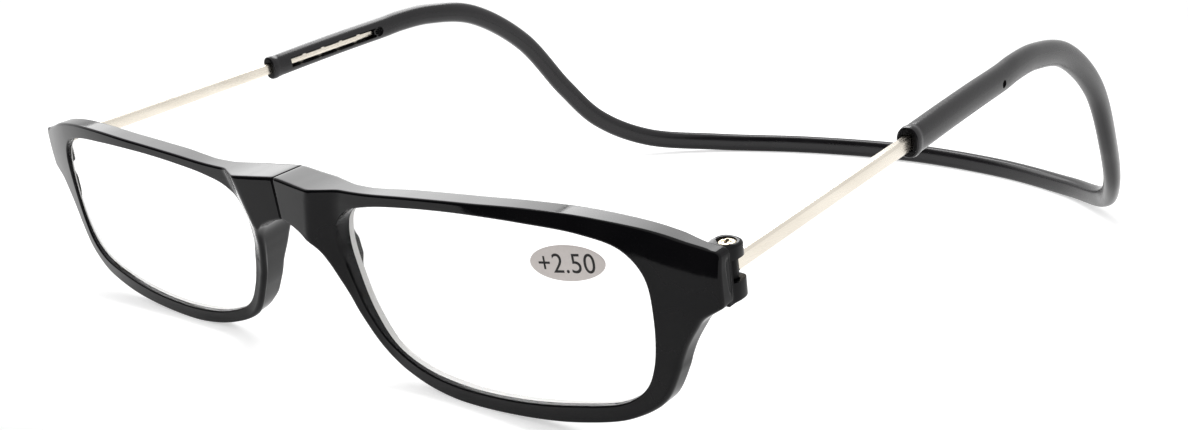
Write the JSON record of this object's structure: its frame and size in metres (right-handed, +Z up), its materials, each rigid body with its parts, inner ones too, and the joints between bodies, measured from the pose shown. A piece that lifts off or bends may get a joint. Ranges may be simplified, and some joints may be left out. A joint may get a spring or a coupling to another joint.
{
  "type": "reading glasses",
  "caption": "Front-opening reading glasses: half fronts joined by magnets at the bridge, hinged on rods that slide in a flexible neckband.",
  "frame": {"origin": "middle of the overall box in plan, at the floor on which the rims and the neckband's nape stand", "axes": "+X towards the wearer's left, +Y from the lenses back to the nape, +Z up; the lenses lean forward by 10.5 degrees"},
  "size_m": [0.1382, 0.1876, 0.041],
  "materials": {
    "front": "polished black injection-moulded plastic",
    "lens": "clear polished acrylic, cut edge paler",
    "magnet": "nickel-plated, hidden in the bridge",
    "screw": "plated head with a recessed cross",
    "barrel": "black, slightly satin",
    "rod": "bright drawn steel, warm silver",
    "neckband": "satin black flexible plastic",
    "sticker": "thin printed film"
  },
  "bodies": {
    "neckband": {"neckband": "neckband"},
    "slider_left": {"temple_rod_left": "rod", "hinge_barrel_left": "barrel"},
    "half_left": {"front_left": "front", "lens_left": "lens", "magnet_left": "magnet", "magnet_cap_left": "front", "hinge_screw_left": "screw", "power_sticker": "sticker"},
    "slider_right": {"temple_rod_right": "rod", "hinge_barrel_right": "barrel"},
    "half_right": {"front_right": "front", "lens_right": "lens", "magnet_right": "magnet", "magnet_cap_right": "front", "hinge_screw_right": "screw"}
  },
  "joints": [
    {"name": "rod_slide_left", "type": "slide", "parent": "neckband", "child": "slider_left", "axis": [0, -0.9833, -0.1822], "range_m": [0, 0.0186]},
    {"name": "hinge_left", "type": "hinge", "parent": "slider_left", "child": "half_left", "pos_m": [0.0673, -0.08318, 0.02367], "axis": [0, -0.1822, 0.9833], "range_deg": [0, 90]},
    {"name": "rod_slide_right", "type": "slide", "parent": "neckband", "child": "slider_right", "axis": [0, -0.9833, -0.1822], "range_m": [0, 0.0186]},
    {"name": "hinge_right", "type": "hinge", "parent": "slider_right", "child": "half_right", "pos_m": [-0.0673, -0.08318, 0.02367], "axis": [0, 0.1822, -0.9833], "range_deg": [0, 90]}
  ]
}
